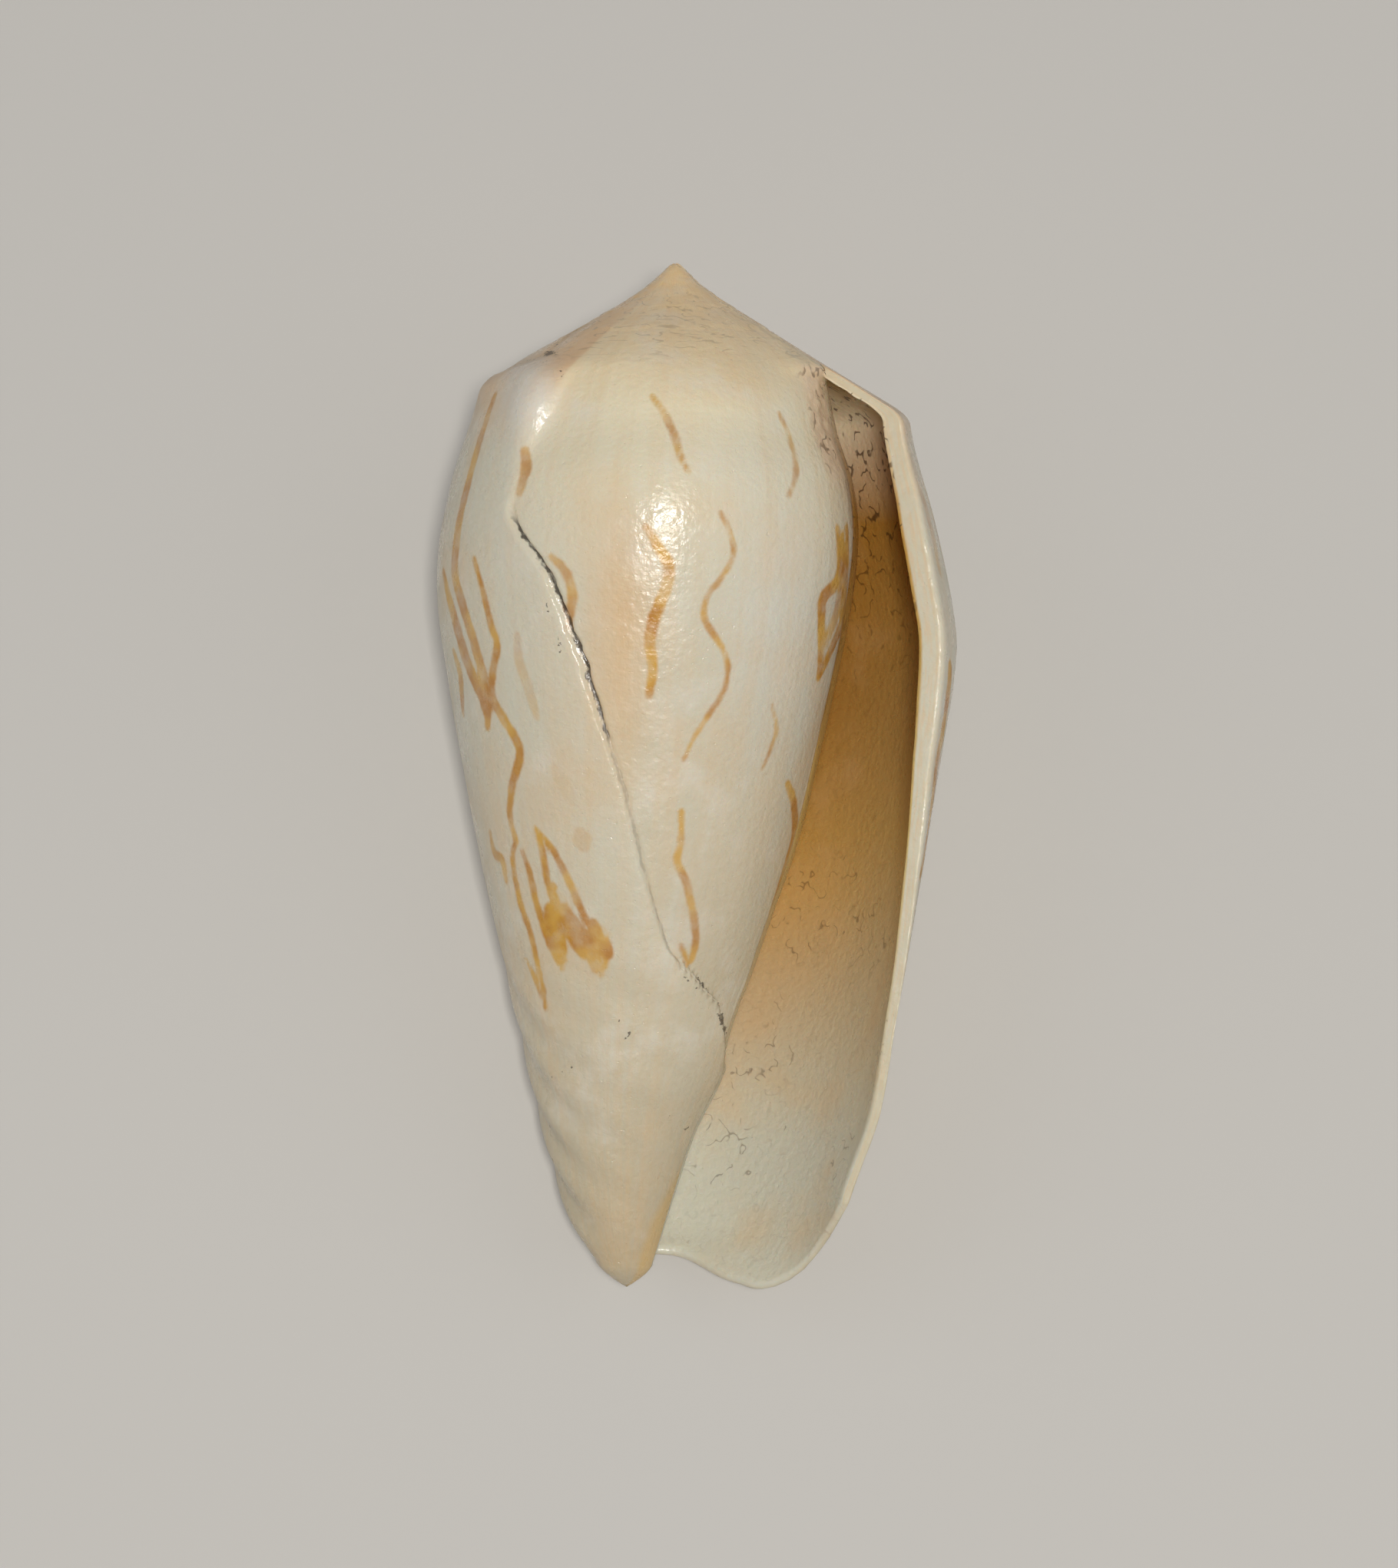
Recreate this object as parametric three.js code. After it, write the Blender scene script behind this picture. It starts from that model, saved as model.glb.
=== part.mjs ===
// A cone shell: one hollow piece that grew in a spiral, worn smooth, its outer lip broken back.
// It lies on its back with the opening up. Millimetres, +Z up, apex towards +Y.
//
// The shell is described about its axis of coiling. Depth runs down the axis from the apex,
// radius runs out from the axis, and turn is the angle about it in degrees, in the direction of
// growth: 0 is the right, 90 the front, 180 the left and 270 the back.

import * as THREE from 'three';
import { mergeVertices } from 'three/addons/utils/BufferGeometryUtils.js';

// ---- Driving dimensions ----
const LENGTH = 65;
const MOUTH_TURN = 20;
const LIP_TURN = MOUTH_TURN + 360;
const RAMP_THICKNESS = 0.7;
const SHELL_COLOUR = 0xe6dccb;

// The spire: a straight cone that ends in a small rounded nipple.
const SPIRE_SLOPE = 0.6;
const NIPPLE_HEIGHT = 0.85;
const NIPPLE_ROUND = 0.6;
const SUTURE_RADIUS = 9.64;

// Contours of the body as [depth, radius], each at its own turn.
const INNER_TURN = 10;
const INNER_CONTOUR = [[6.2, 9.5], [10.6, 10.5], [13.8, 11.6], [17, 12], [22, 11.5], [29.5, 10.1],
  [37.2, 8.4], [44.6, 6], [51.2, 4.3], [55.1, 2.4], [59, 1.1], [65, -0.7]];
const LEFT_TURN = 180;
const LEFT_CONTOUR = [[6.2, 11.9], [9.8, 12.65], [14.6, 14.1], [20, 14.8], [27.3, 13.9],
  [37.1, 11.9], [46.8, 9.5], [56.6, 6.9], [61.4, 5.3], [63.4, 4], [65, 2.8]];
const RIGHT_TURN = 370;
const RIGHT_CONTOUR = [[6.2, 14.9], [10.7, 15.3], [15.6, 16.7], [20, 17.75], [24.4, 18.35],
  [32.2, 17.35], [41.9, 15.8], [50, 14.1], [54, 13.2], [58.5, 11.6], [65, 9.4]];
const SHOULDER_ROUND = 0.9;
const SHOULDER_START = 1.2;

// Towards the base the pillar bends left of the axis, so radius is measured from the bend.
const BEND = [[24, 0], [40, -1.2], [52, -2.1], [60, -2.2], [65, -2]];

// The step where the thick outer layer on the left ends over the thinner wall: its turn, its
// height and, as a share of its reach, how softly it rises, each by depth.
const STEP_TURN = [[6, 125], [16, 136], [20, 124], [32, 103], [43, 78], [47, 42], [51, 20]];
const STEP_HEIGHT = [[6.2, 0.1], [8, 0.75], [11.5, 0.7], [14, 0.25], [17, 0.3], [25, 0.35],
  [31, 0.25], [36, 0.18], [42, 0.3], [45, 0.8], [48, 0.95], [50, 0.85], [53, 0]];
const STEP_SOFTNESS = [[6.2, 0.05], [14, 0.04], [17, 0.01], [42, 0.01], [47, 0.015], [51, 0.05]];
const STEP_REACH = 55;
const STEP_EDGE_DEPTH = 44;

// Thickness of the outer wall, as [depth, thickness].
const WALL = [[6, 1.05], [12, 1.3], [17, 1.6], [26, 1.55], [33, 1.15], [40, 0.9], [50, 0.65],
  [60, 0.55]];

// The edge of the wall round the base, as [turn, depth], and the ring where the tip closes.
const BASE_EDGE = [[235, 63.4], [300, 63], [345, 64.5], [362, 64.2], [380, 59]];
const TIP_RING_DEPTH = 63.4;
const TIP_RINGS = [0.35, 0.7, 0.9];
const TIP_BLUNTNESS = 1.6;

// The hollow: how far back from the lip it reaches, as [depth, turn], and how it narrows.
const HOLLOW_END = [[6, 150], [30, 165], [50, 200], [60, 234], [65, 235]];
const HOLLOW_ROUND = 45;
const CORE_SHRINK_PER_TURN = 1.45;
const LEAST_GAP = 0.12;
const DEAD_END_SKEW = 8;

// How the shell lies: with its apex raised, and worn flat where it touches.
const PITCH = 13;
const WORN_DEPTH = 0.55;

// Fineness of the facets.
const FRONT_COLUMNS = 14;
const REST_COLUMNS = 44;
const WALL_ROWS = 26;
const SPIRE_ROWS = [0.97, 0.8, 0.62, 0.45, 0.29, 0.16, 0.07];
const FIRST_HOLLOW_COLUMN = 22;
const EDGE_HALF = 1.5;

// ---- Helpers ----
const RADIANS = Math.PI / 180;
const mix = (a, b, t) => a + (b - a) * t;
const clamp01 = (t) => Math.min(Math.max(t, 0), 1);
const ease = (t) => clamp01(t) ** 2 * (3 - 2 * clamp01(t));

/** A smooth curve through knots, level beyond its ends. */
function smoothCurve(knots) {
  const last = knots.length - 1;
  const slope = (a, b) => (b[1] - a[1]) / (b[0] - a[0]);
  const slopes = knots.map((_, i) => slope(knots[Math.max(i - 1, 0)], knots[Math.min(i + 1, last)]));
  return (at) => {
    if (at <= knots[0][0]) return knots[0][1];
    if (at >= knots[last][0]) return knots[last][1];
    const i = knots.findIndex((knot) => knot[0] > at) - 1;
    const span = knots[i + 1][0] - knots[i][0];
    const t = (at - knots[i][0]) / span;
    const rise = (1 - t) ** 2 * t * slopes[i] - (1 - t) * t ** 2 * slopes[i + 1];
    return mix(knots[i][1], knots[i + 1][1], ease(t)) + rise * span;
  };
}

/** The lesser of two radii, with the corner between them rounded. */
function roundedMin(a, b, round) {
  const near = Math.max(round - Math.abs(a - b), 0) / round;
  return Math.min(a, b) - near ** 2 * round / 4;
}

const innerContour = smoothCurve(INNER_CONTOUR);
const leftContour = smoothCurve(LEFT_CONTOUR);
const rightContour = smoothCurve(RIGHT_CONTOUR);
const bend = smoothCurve(BEND);
const stepTurn = smoothCurve(STEP_TURN);
const stepHeight = smoothCurve(STEP_HEIGHT);
const stepSoftness = smoothCurve(STEP_SOFTNESS);
const wallThickness = smoothCurve(WALL);
const baseEdge = smoothCurve(BASE_EDGE);
const hollowEnd = smoothCurve(HOLLOW_END);

// ---- The outside ----
/** Depth of the spire's cone at a radius. */
function spireDepth(radius) {
  const rounded = Math.hypot(radius, NIPPLE_ROUND) - NIPPLE_ROUND;
  return SPIRE_SLOPE * rounded + NIPPLE_HEIGHT * (1 - Math.exp(-rounded));
}

/** Radius of the spire's cone at a depth, below the nipple. */
function spireRadius(depth) {
  return (depth - NIPPLE_HEIGHT) / SPIRE_SLOPE + NIPPLE_ROUND;
}

const SUTURE_DEPTH = SPIRE_SLOPE * (SUTURE_RADIUS - NIPPLE_ROUND) + NIPPLE_HEIGHT;

/** Radius of the body, which grows with the turn through the three contours. */
function bodyRadius(turn, depth) {
  const shift = bend(depth);
  const inner = Math.log(innerContour(depth) - shift);
  const left = Math.log(leftContour(depth) + shift);
  const right = Math.log(rightContour(depth) - shift);
  const firstRate = (left - inner) / (LEFT_TURN - INNER_TURN);
  const nextRate = (right - left) / (RIGHT_TURN - LEFT_TURN);
  const bending = (nextRate - firstRate) / (RIGHT_TURN - INNER_TURN);
  const since = turn - INNER_TURN;
  return Math.exp(inner + firstRate * since + bending * since * (turn - LEFT_TURN));
}

/** What the step adds to the radius: raised on its left, sunk on its right, fading away. */
function stepRelief(turn, depth) {
  const offset = (turn - stepTurn(depth)) / STEP_REACH;
  const fade = 1 - ease(Math.abs(offset));
  return 0.5 * stepHeight(depth) * fade * Math.tanh(offset / stepSoftness(depth));
}

function outerRadius(turn, depth) {
  const ramp = spireRadius(depth);
  const wall = bodyRadius(turn, depth) + stepRelief(turn, depth);
  const leave = ease((depth - SUTURE_DEPTH) / SHOULDER_START);
  return mix(ramp, roundedMin(ramp, wall, SHOULDER_ROUND), leave);
}

// ---- The hollow ----
const mouthRadius = (depth) => outerRadius(MOUTH_TURN, depth);

/** Radius of the pillar and inner whorls, inside the hollow. */
function coreRadius(turn, depth) {
  return mouthRadius(depth) * CORE_SHRINK_PER_TURN ** ((turn - LIP_TURN) / 360);
}

/** Inner face of the outer wall and of the ramp above it. */
function hollowRadius(turn, depth) {
  const underRamp = spireRadius(depth - RAMP_THICKNESS);
  const wall = bodyRadius(turn, depth) - wallThickness(depth);
  const core = coreRadius(turn, depth);
  const gap = roundedMin(underRamp, wall, SHOULDER_ROUND) - core;
  const along = clamp01((turn - hollowEnd(depth)) / HOLLOW_ROUND);
  const round = Math.sqrt(1 - (1 - along) ** 2);
  return core + Math.max(gap, LEAST_GAP) * round;
}

/** Depth at which the underside of the ramp meets the core. */
function hollowTop(turn) {
  let above = SUTURE_DEPTH;
  let below = SUTURE_DEPTH + 3;
  for (let i = 0; i < 30; i++) {
    const depth = (above + below) / 2;
    if (spireRadius(depth - RAMP_THICKNESS) > coreRadius(turn, depth)) below = depth;
    else above = depth;
  }
  return above;
}

// ---- Grids of points ----
/** A point from its turn, radius and depth, with x right, y to the apex and z to the front. */
function place(turn, radius, depth) {
  const angle = turn * RADIANS;
  return [bend(depth) + radius * Math.cos(angle), -depth, radius * Math.sin(angle)];
}

/** Rows crowd under the ramp and thin out down the wall: 0 at the top, 1 at the base. */
const rowShare = (row) => 0.45 * (row / WALL_ROWS) + 0.55 * (row / WALL_ROWS) ** 2.2;

/** Turn of a column of the outside; one column keeps to the edge of the step. */
function columnTurn(column, depth) {
  const edge = stepTurn(Math.min(depth, STEP_EDGE_DEPTH));
  if (column <= FRONT_COLUMNS) return mix(MOUTH_TURN, edge - EDGE_HALF, (column / FRONT_COLUMNS) ** 0.85);
  const share = (column - FRONT_COLUMNS - 1) / (REST_COLUMNS - 1);
  return mix(edge + EDGE_HALF, LIP_TURN, share);
}

const COLUMNS = FRONT_COLUMNS + REST_COLUMNS;
const HOLLOW_COLUMN = FRONT_COLUMNS + FIRST_HOLLOW_COLUMN;
const TOP = hollowTop(LIP_TURN);

function outsidePoint(column, row) {
  const foot = columnTurn(column, LENGTH);
  const base = foot < BASE_EDGE[0][0] ? TIP_RING_DEPTH : baseEdge(foot);
  const depth = mix(TOP, base, rowShare(row));
  const turn = columnTurn(column, depth);
  return place(turn, outerRadius(turn, depth), depth);
}

function hollowTurn(column, depth) {
  const share = (COLUMNS - column) / (COLUMNS - HOLLOW_COLUMN);
  const foot = columnTurn(column, LENGTH) + DEAD_END_SKEW * share;
  const footReach = LIP_TURN - columnTurn(HOLLOW_COLUMN, LENGTH) - DEAD_END_SKEW;
  return LIP_TURN - (LIP_TURN - foot) * (LIP_TURN - hollowEnd(depth)) / footReach;
}

function corePoint(column, row) {
  const top = hollowTop(hollowTurn(column, TOP));
  const depth = mix(top, TIP_RING_DEPTH, rowShare(row));
  const turn = hollowTurn(column, depth);
  return place(turn, coreRadius(turn, depth), depth);
}

function innerWallPoint(column, row) {
  const top = hollowTop(hollowTurn(column, TOP));
  const base = baseEdge(columnTurn(column, LENGTH));
  const depth = mix(top, base, rowShare(row));
  const turn = hollowTurn(column, depth);
  return place(turn, row === 0 ? coreRadius(turn, depth) : hollowRadius(turn, depth), depth);
}

// ---- Stitching ----
const points = [];
const triangles = [];

function addTriangle(a, b, c) {
  for (const corner of [a, c, b]) {
    triangles.push(points.length);
    points.push(corner);
  }
}

function addQuad(a, b, c, d) {
  addTriangle(a, b, c);
  addTriangle(a, c, d);
}

/** Joins two runs of points of the same length. */
function addStrip(first, second) {
  for (let i = 0; i + 1 < first.length; i++) {
    addQuad(first[i], second[i], second[i + 1], first[i + 1]);
  }
}

const range = (from, to) => Array.from({ length: to - from + 1 }, (_, i) => from + i);
const sutureRing = range(0, COLUMNS).map((column) => {
  return place(columnTurn(column, TOP), SUTURE_RADIUS, SUTURE_DEPTH);
});

function addOutside() {
  const rows = range(0, WALL_ROWS).map((row) => {
    return range(0, COLUMNS).map((column) => outsidePoint(column, row));
  });
  addStrip(sutureRing, rows[0]);
  for (let row = 0; row < WALL_ROWS; row++) addStrip(rows[row], rows[row + 1]);
}

function addSpire() {
  let above = sutureRing;
  for (const share of SPIRE_ROWS) {
    const radius = SUTURE_RADIUS * share;
    const ring = range(0, COLUMNS).map((column) => {
      return place(columnTurn(column, TOP), radius, spireDepth(radius));
    });
    addStrip(ring, above);
    above = ring;
  }
  const apex = place(0, 0, 0);
  for (let i = 0; i < COLUMNS; i++) addTriangle(apex, above[i], above[i + 1]);
}

function addHollow() {
  for (let column = HOLLOW_COLUMN; column < COLUMNS; column++) {
    const core = (c) => range(0, WALL_ROWS).map((row) => corePoint(c, row));
    const wall = (c) => range(0, WALL_ROWS).map((row) => innerWallPoint(c, row));
    addStrip(core(column + 1), core(column));
    addStrip(wall(column), wall(column + 1));
  }
}

/** The broken face of the lip, from the base edge up and over under the ramp to the suture. */
function addLip() {
  const outer = range(0, WALL_ROWS).map((row) => outsidePoint(COLUMNS, row));
  const inner = range(0, WALL_ROWS).map((row) => innerWallPoint(COLUMNS, row));
  addStrip(inner, outer);
  addTriangle(sutureRing[COLUMNS], outer[0], inner[0]);
}

/** The edge of the wall round the base, and the blunt tip of the pillar. */
function addBase() {
  const hollowColumns = range(HOLLOW_COLUMN, COLUMNS);
  const edgeOut = hollowColumns.map((column) => outsidePoint(column, WALL_ROWS));
  const edgeIn = hollowColumns.map((column) => innerWallPoint(column, WALL_ROWS));
  addStrip(edgeOut, edgeIn);
  const front = range(0, HOLLOW_COLUMN).map((column) => outsidePoint(column, WALL_ROWS));
  const back = hollowColumns.map((column) => corePoint(column, WALL_ROWS));
  const tip = place(0, 0, LENGTH);
  const rim = [...front, ...back];
  let loop = rim;
  for (const share of TIP_RINGS) {
    const ring = rim.map(([x, y, z]) => {
      const spread = 1 - share ** TIP_BLUNTNESS;
      return [mix(tip[0], x, spread), mix(y, tip[1], share), z * spread];
    });
    addStrip(loop, ring);
    loop = ring;
  }
  for (let i = 0; i + 1 < loop.length; i++) addTriangle(loop[i], tip, loop[i + 1]);
}

/** Lays the shell on its back and wears it flat where it touches the ground. */
function layDown(geometry) {
  geometry.rotateX(PITCH * RADIANS);
  geometry.computeBoundingBox();
  const ground = geometry.boundingBox.min.z + WORN_DEPTH;
  const position = geometry.attributes.position;
  for (let i = 0; i < position.count; i++) {
    position.setZ(i, Math.max(position.getZ(i), ground));
  }
  geometry.computeBoundingBox();
  const { min, max } = geometry.boundingBox;
  geometry.translate(-(min.x + max.x) / 2, -(min.y + max.y) / 2, -min.z);
}

function makeShell() {
  addOutside();
  addSpire();
  addHollow();
  addLip();
  addBase();
  const loose = new THREE.BufferGeometry();
  loose.setAttribute('position', new THREE.Float32BufferAttribute(points.flat(), 3));
  loose.setIndex(triangles);
  const geometry = mergeVertices(loose, 1e-4);
  layDown(geometry);
  geometry.computeVertexNormals();
  return geometry;
}

const material = new THREE.MeshStandardMaterial({ color: SHELL_COLOUR, roughness: 0.45, metalness: 0 });
const shell = new THREE.Mesh(makeShell(), material);
shell.name = 'shell';

const coneShell = new THREE.Group();
coneShell.add(shell);

export default coneShell;
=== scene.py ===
"""A worn cone shell lying on its back on a pale floor.

The shape is worked out in millimetres about the axis of coiling. Depth runs down the axis from
the apex, radius runs out from it, and turn is the angle about it in degrees, in the direction
of growth: 0 is the right, 90 the front, 180 the left and 270 the back.
"""

import bmesh
import bpy
import numpy as np
from mathutils import Matrix, Quaternion, Vector, noise


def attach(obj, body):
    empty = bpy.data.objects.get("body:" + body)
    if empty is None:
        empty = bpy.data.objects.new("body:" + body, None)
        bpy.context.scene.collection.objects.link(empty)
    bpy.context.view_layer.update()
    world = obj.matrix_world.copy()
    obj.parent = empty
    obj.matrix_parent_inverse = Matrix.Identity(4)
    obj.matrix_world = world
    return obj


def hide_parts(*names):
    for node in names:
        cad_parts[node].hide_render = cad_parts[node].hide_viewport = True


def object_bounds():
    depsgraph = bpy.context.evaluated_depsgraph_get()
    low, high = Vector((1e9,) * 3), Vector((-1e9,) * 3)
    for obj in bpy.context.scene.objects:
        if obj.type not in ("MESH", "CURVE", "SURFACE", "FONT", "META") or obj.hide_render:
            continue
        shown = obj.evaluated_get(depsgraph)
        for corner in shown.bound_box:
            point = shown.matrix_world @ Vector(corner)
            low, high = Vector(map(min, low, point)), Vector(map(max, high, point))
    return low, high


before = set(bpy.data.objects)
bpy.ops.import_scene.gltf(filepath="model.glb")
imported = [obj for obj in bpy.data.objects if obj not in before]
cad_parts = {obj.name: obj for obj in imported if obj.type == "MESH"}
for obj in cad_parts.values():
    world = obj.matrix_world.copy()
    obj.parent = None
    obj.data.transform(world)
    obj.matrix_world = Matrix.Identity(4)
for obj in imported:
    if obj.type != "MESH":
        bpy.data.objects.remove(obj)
CAD_BOX = [list(corner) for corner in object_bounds()]
MM = 0.001

# ---- Driving dimensions, the same as the CAD model's ----
LENGTH = 65
MOUTH_TURN = 20
LIP_TURN = MOUTH_TURN + 360
RAMP_THICKNESS = 0.7
SPIRE_SLOPE = 0.6
NIPPLE_HEIGHT = 0.85
NIPPLE_ROUND = 0.6
SUTURE_RADIUS = 9.64
SUTURE_DEPTH = SPIRE_SLOPE * (SUTURE_RADIUS - NIPPLE_ROUND) + NIPPLE_HEIGHT
SHOULDER_ROUND = 0.9
WORN_SHOULDER_ROUND = 4.5
STEP_REACH = 55
STEP_EDGE_DEPTH = 44
TIP_RING_DEPTH = 63.4
HOLLOW_ROUND = 45
CORE_SHRINK_PER_TURN = 1.45
LEAST_GAP = 0.12
DEAD_END_SKEW = 8
PITCH = 13
WORN_DEPTH = 0.55

# Contours of the body, [depth, radius], at three turns.
INNER_TURN, LEFT_TURN, RIGHT_TURN = 10, 180, 370
INNER_CONTOUR = [[6.2, 9.5], [10.6, 10.5], [13.8, 11.6], [17, 12], [22, 11.5], [29.5, 10.1],
                 [37.2, 8.4], [44.6, 6], [51.2, 4.3], [55.1, 2.4], [59, 1.1], [65, -0.7]]
LEFT_CONTOUR = [[6.2, 11.9], [9.8, 12.65], [14.6, 14.1], [20, 14.8], [27.3, 13.9],
                [37.1, 11.9], [46.8, 9.5], [56.6, 6.9], [61.4, 5.3], [63.4, 4], [65, 2.8]]
RIGHT_CONTOUR = [[6.2, 14.9], [10.7, 15.3], [15.6, 16.7], [20, 17.75], [24.4, 18.35],
                 [32.2, 17.35], [41.9, 15.8], [50, 14.1], [54, 13.2], [58.5, 11.6], [65, 9.4]]
BEND = [[24, 0], [40, -1.2], [52, -2.1], [60, -2.2], [65, -2]]

# The step where the thick layer on the left ends: [depth, turn] and [depth, height].
STEP_TURN = [[6, 125], [16, 136], [20, 124], [32, 103], [43, 78], [47, 42], [51, 20]]
STEP_HEIGHT = [[6.2, 0.1], [8, 0.75], [11.5, 0.7], [14, 0.25], [17, 0.3], [25, 0.35], [31, 0.25],
               [36, 0.18], [42, 0.3], [45, 0.8], [48, 0.95], [50, 0.85], [53, 0]]
# How softly the step rises, as a share of its reach, and the wall's thickness, by depth.
STEP_SOFTNESS = [[6.2, 0.05], [14, 0.04], [17, 0.01], [42, 0.01], [47, 0.015], [51, 0.05]]
WALL = [[6, 1.05], [12, 1.3], [17, 1.6], [26, 1.55], [33, 1.15], [40, 0.9], [50, 0.65], [60, 0.55]]

# The edge of the wall round the base, [turn, depth], and the hollow's dead end, [depth, turn].
BASE_EDGE = [[235, 63.4], [300, 63], [345, 64.5], [362, 64.2], [380, 59]]
HOLLOW_END = [[6, 150], [30, 165], [50, 200], [60, 234], [65, 235]]

# ---- Details that only the finished shell has ----
# The turn of the broken lip by depth, and how ragged it is, in degrees.
LIP_LEAN = [[6, 380], [11, 380.5], [17, 383], [26, 384], [38, 383.5], [50, 381.5], [59, 380]]
LIP_RAGGED = 0.35
# How ragged the step's edge is, how deep its crevice is and how high the cords are, by depth.
STEP_RAGGED = [[6.2, 0], [16, 0.2], [22, 0.7], [26, 0.5], [31, 0.3], [42, 0.4], [46, 1.6], [52, 0.5]]
CREVICE_DEPTH = [[15.5, 0], [18, 0.4], [28, 0.5], [31, 0.12], [40, 0.1], [44, 0.05], [50, 0]]
CORD_HEIGHT = [[43, 0], [48, 0.12], [56, 0.2], [63, 0.15]]
CORD_PITCH = 2.5
# The spire's sutures: the radius of the one that starts at turn 0, its growth by the whorl and
# the height of its steps.
SPIRE_SUTURE, SPIRE_GROWTH, SPIRE_RELIEF = 9.4 / 1.57, 1.57, 0.04
# Two smooth swellings: the middle of each, how far it reaches along each axis, and its height.
BULGE = ((0.4, -14.3, 12.5), (6.5, 3.8, 6), 0.5)
CALLUS = ((-8.7, -9.1, 8.4), (1.7, 2.8, 2.4), 0.6)

# ---- Fineness of the mesh ----
FRONT_COLUMNS = 84
REST_COLUMNS = 136
COLUMNS = FRONT_COLUMNS + REST_COLUMNS
HOLLOW_COLUMNS = 54
HOLLOW_COLUMN = COLUMNS - HOLLOW_COLUMNS
WALL_ROWS = 232
SPIRE_ROWS = 44
COLLAR_ROWS = 5
EDGE_ROWS = 5
TIP_ROWS = 8
EDGE_HALF = 0.45


# ---- Helpers ----
def mix(a, b, t):
    return a + (b - a) * t


def ease(t):
    t = np.clip(t, 0, 1)
    return t * t * (3 - 2 * t)


def smooth_curve(knots):
    """A smooth curve through knots, level beyond its ends."""
    x, y = np.array(knots, float).T
    first = np.maximum(np.arange(len(x)) - 1, 0)
    after = np.minimum(np.arange(len(x)) + 1, len(x) - 1)
    slopes = (y[after] - y[first]) / (x[after] - x[first])

    def curve(at):
        at = np.clip(at, x[0], x[-1])
        i = np.clip(np.searchsorted(x, at, side="right") - 1, 0, len(x) - 2)
        span = x[i + 1] - x[i]
        t = (at - x[i]) / span
        rise = (1 - t) ** 2 * t * slopes[i] - (1 - t) * t ** 2 * slopes[i + 1]
        return mix(y[i], y[i + 1], ease(t)) + rise * span

    return curve


def rounded_min(a, b, rounding):
    near = np.maximum(rounding - np.abs(a - b), 0) / rounding
    return np.minimum(a, b) - near ** 2 * rounding / 4


inner_contour = smooth_curve(INNER_CONTOUR)
left_contour = smooth_curve(LEFT_CONTOUR)
right_contour = smooth_curve(RIGHT_CONTOUR)
bend = smooth_curve(BEND)
step_turn = smooth_curve(STEP_TURN)
step_height = smooth_curve(STEP_HEIGHT)
step_softness = smooth_curve(STEP_SOFTNESS)
wall_thickness = smooth_curve(WALL)
lip_lean = smooth_curve(LIP_LEAN)
base_edge = smooth_curve(BASE_EDGE)
hollow_end = smooth_curve(HOLLOW_END)
step_ragged = smooth_curve(STEP_RAGGED)
crevice_depth = smooth_curve(CREVICE_DEPTH)
cord_height = smooth_curve(CORD_HEIGHT)


def field(points, scale, seed=0.0):
    """Smooth noise, about -1 to 1, at points in millimetres; scale is the size of its lumps."""
    flat = np.asarray(points, float).reshape(-1, 3) / scale + seed
    values = [noise.noise(Vector(p)) for p in flat]
    return np.array(values).reshape(np.shape(points)[:-1])


def edge_turn_curve():
    """The turn of the step's edge by depth, ragged where it is chipped."""
    depth = np.linspace(6.2, 52, 230)
    along = np.stack([depth, 0 * depth, 0 * depth], -1)
    ragged = 1.2 * field(along, 1.1) + 0.8 * field(along, 0.45, 7.3)
    turns = step_turn(depth) + step_ragged(depth) * ragged
    return lambda at: np.interp(at, depth, turns)


edge_turn = edge_turn_curve()


def lip_turn_curve():
    """The turn of the broken lip by depth."""
    depth = np.linspace(6, 59, 160)
    along = np.stack([depth, 0 * depth, 0 * depth], -1)
    ragged = LIP_RAGGED * (field(along, 2.6, 5.2) + 0.6 * field(along, 0.9, 1.1))
    turns = lip_lean(depth) + ragged * ease((59 - depth) / 3)
    return lambda at: np.interp(at, depth, turns)


lip_turn = lip_turn_curve()


# ---- The outside ----
def spire_depth(radius):
    rounded = np.hypot(radius, NIPPLE_ROUND) - NIPPLE_ROUND
    return SPIRE_SLOPE * rounded + NIPPLE_HEIGHT * (1 - np.exp(-rounded))


def spire_radius(depth):
    return (depth - NIPPLE_HEIGHT) / SPIRE_SLOPE + NIPPLE_ROUND


def body_radius(turn, depth):
    """Radius of the body, which grows with the turn through the three contours."""
    shift = bend(depth)
    inner = np.log(inner_contour(depth) - shift)
    left = np.log(left_contour(depth) + shift)
    right = np.log(right_contour(depth) - shift)
    first_rate = (left - inner) / (LEFT_TURN - INNER_TURN)
    next_rate = (right - left) / (RIGHT_TURN - LEFT_TURN)
    bending = (next_rate - first_rate) / (RIGHT_TURN - INNER_TURN)
    since = turn - INNER_TURN
    return np.exp(inner + first_rate * since + bending * since * (turn - LEFT_TURN))


def step_relief(turn, depth):
    """What the step adds to the radius: raised on its left, sunk on its right, fading away."""
    offset = (turn - edge_turn(depth)) / STEP_REACH
    fade = 1 - ease(np.abs(offset))
    return 0.5 * step_height(depth) * fade * np.tanh(offset / step_softness(depth))


def fine_relief(turn, depth, radius):
    """Small forms: the crevice beside the step, cords round the base, and growth lines."""
    arc = np.radians(turn - edge_turn(depth)) * radius
    crevice = crevice_depth(depth) * np.exp(-((arc + 0.12) / 0.14) ** 2)
    phase = (depth + 0.42 * np.radians(turn) * radius) / CORD_PITCH
    side = ease(arc / 2) * ease((300 - turn) / 60) * mix(0.3, 1, ease((turn - 115) / 50))
    cords = cord_height(depth) * side * np.cos(2 * np.pi * phase)
    return cords - crevice


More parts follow.
